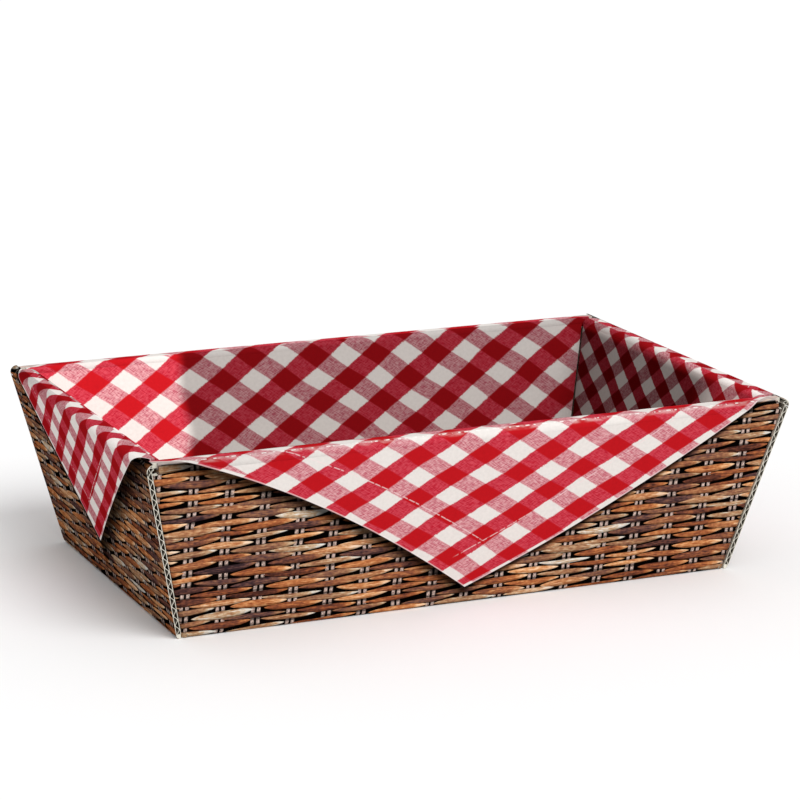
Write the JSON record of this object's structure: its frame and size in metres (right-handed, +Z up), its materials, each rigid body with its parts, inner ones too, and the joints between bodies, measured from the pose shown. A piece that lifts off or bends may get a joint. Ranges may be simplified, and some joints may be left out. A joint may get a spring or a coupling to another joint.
{
  "type": "bread basket",
  "caption": "Open rectangular bread basket folded from printed corrugated board, with roll-over double walls leaning outward and a flat base.",
  "frame": {"origin": "centre of the footprint, on the surface the basket stands on", "axes": "+X along the length of the basket, the front long side faces -Y, +Z up"},
  "size_m": [0.408, 0.262, 0.111],
  "materials": {
    "base_board": "matte",
    "wicker_board": "satin",
    "gingham_board": "satin",
    "tab_board": "matte",
    "wicker_liner": "satin",
    "grey_liner": "matte",
    "grey_fluting": "matte"
  },
  "bodies": {
    "tray": {"base_panel": "base_board", "front_base_crease": "wicker_board", "rear_base_crease": "wicker_board", "left_base_crease": "wicker_board", "right_base_crease": "wicker_board", "front_outer_wall": "wicker_board", "rear_outer_wall": "wicker_board", "left_face_liner": "wicker_liner", "left_fluting": "grey_fluting", "left_back_liner": "grey_liner", "right_face_liner": "wicker_liner", "right_fluting": "grey_fluting", "right_back_liner": "grey_liner", "front_left_corner_tab": "tab_board", "front_right_corner_tab": "tab_board", "rear_left_corner_tab": "tab_board", "rear_right_corner_tab": "tab_board", "front_left_corner_crease": "wicker_board", "front_right_corner_crease": "wicker_board", "rear_left_corner_crease": "wicker_board", "rear_right_corner_crease": "wicker_board"},
    "front_rim_strip": {"front_rim": "gingham_board"},
    "rear_rim_strip": {"rear_rim": "gingham_board"},
    "left_rim_strip": {"left_rim": "gingham_board", "left_rim_ends": "wicker_board"},
    "right_rim_strip": {"right_rim": "gingham_board", "right_rim_ends": "wicker_board"},
    "front_flap": {"front_inner_wall": "gingham_board", "front_lock_tabs": "gingham_board"},
    "rear_flap": {"rear_inner_wall": "gingham_board", "rear_lock_tabs": "gingham_board"},
    "left_flap": {"left_inner_wall": "gingham_board", "left_lock_tab": "gingham_board"},
    "right_flap": {"right_inner_wall": "gingham_board", "right_lock_tab": "gingham_board"}
  },
  "joints": [
    {"name": "front_rim_hinge", "type": "hinge", "parent": "tray", "child": "front_rim_strip", "pos_m": [0, -0.12696, 0.107], "axis": [1, 0, 0], "range_deg": [0, 103.18]},
    {"name": "front_flap_hinge", "type": "hinge", "parent": "front_rim_strip", "child": "front_flap", "pos_m": [0, -0.12176, 0.107], "axis": [1, 0, 0], "range_deg": [0, 76.82]},
    {"name": "rear_rim_hinge", "type": "hinge", "parent": "tray", "child": "rear_rim_strip", "pos_m": [0, 0.12696, 0.107], "axis": [-1, 0, 0], "range_deg": [0, 103.18]},
    {"name": "rear_flap_hinge", "type": "hinge", "parent": "rear_rim_strip", "child": "rear_flap", "pos_m": [0, 0.12176, 0.107], "axis": [-1, 0, 0], "range_deg": [0, 76.82]},
    {"name": "left_rim_hinge", "type": "hinge", "parent": "tray", "child": "left_rim_strip", "pos_m": [-0.19995, 0, 0.107], "axis": [0, -1, 0], "range_deg": [0, 103.18]},
    {"name": "left_flap_hinge", "type": "hinge", "parent": "left_rim_strip", "child": "left_flap", "pos_m": [-0.19476, 0, 0.107], "axis": [0, -1, 0], "range_deg": [0, 76.82]},
    {"name": "right_rim_hinge", "type": "hinge", "parent": "tray", "child": "right_rim_strip", "pos_m": [0.19995, 0, 0.107], "axis": [0, 1, 0], "range_deg": [0, 103.18]},
    {"name": "right_flap_hinge", "type": "hinge", "parent": "right_rim_strip", "child": "right_flap", "pos_m": [0.19476, 0, 0.107], "axis": [0, 1, 0], "range_deg": [0, 76.82]}
  ],
  "couplings": [
    {"joint": "front_flap_hinge", "follows": "front_rim_hinge", "ratio": 0.7445},
    {"joint": "rear_flap_hinge", "follows": "rear_rim_hinge", "ratio": 0.7445},
    {"joint": "left_flap_hinge", "follows": "left_rim_hinge", "ratio": 0.7445},
    {"joint": "right_flap_hinge", "follows": "right_rim_hinge", "ratio": 0.7445}
  ]
}
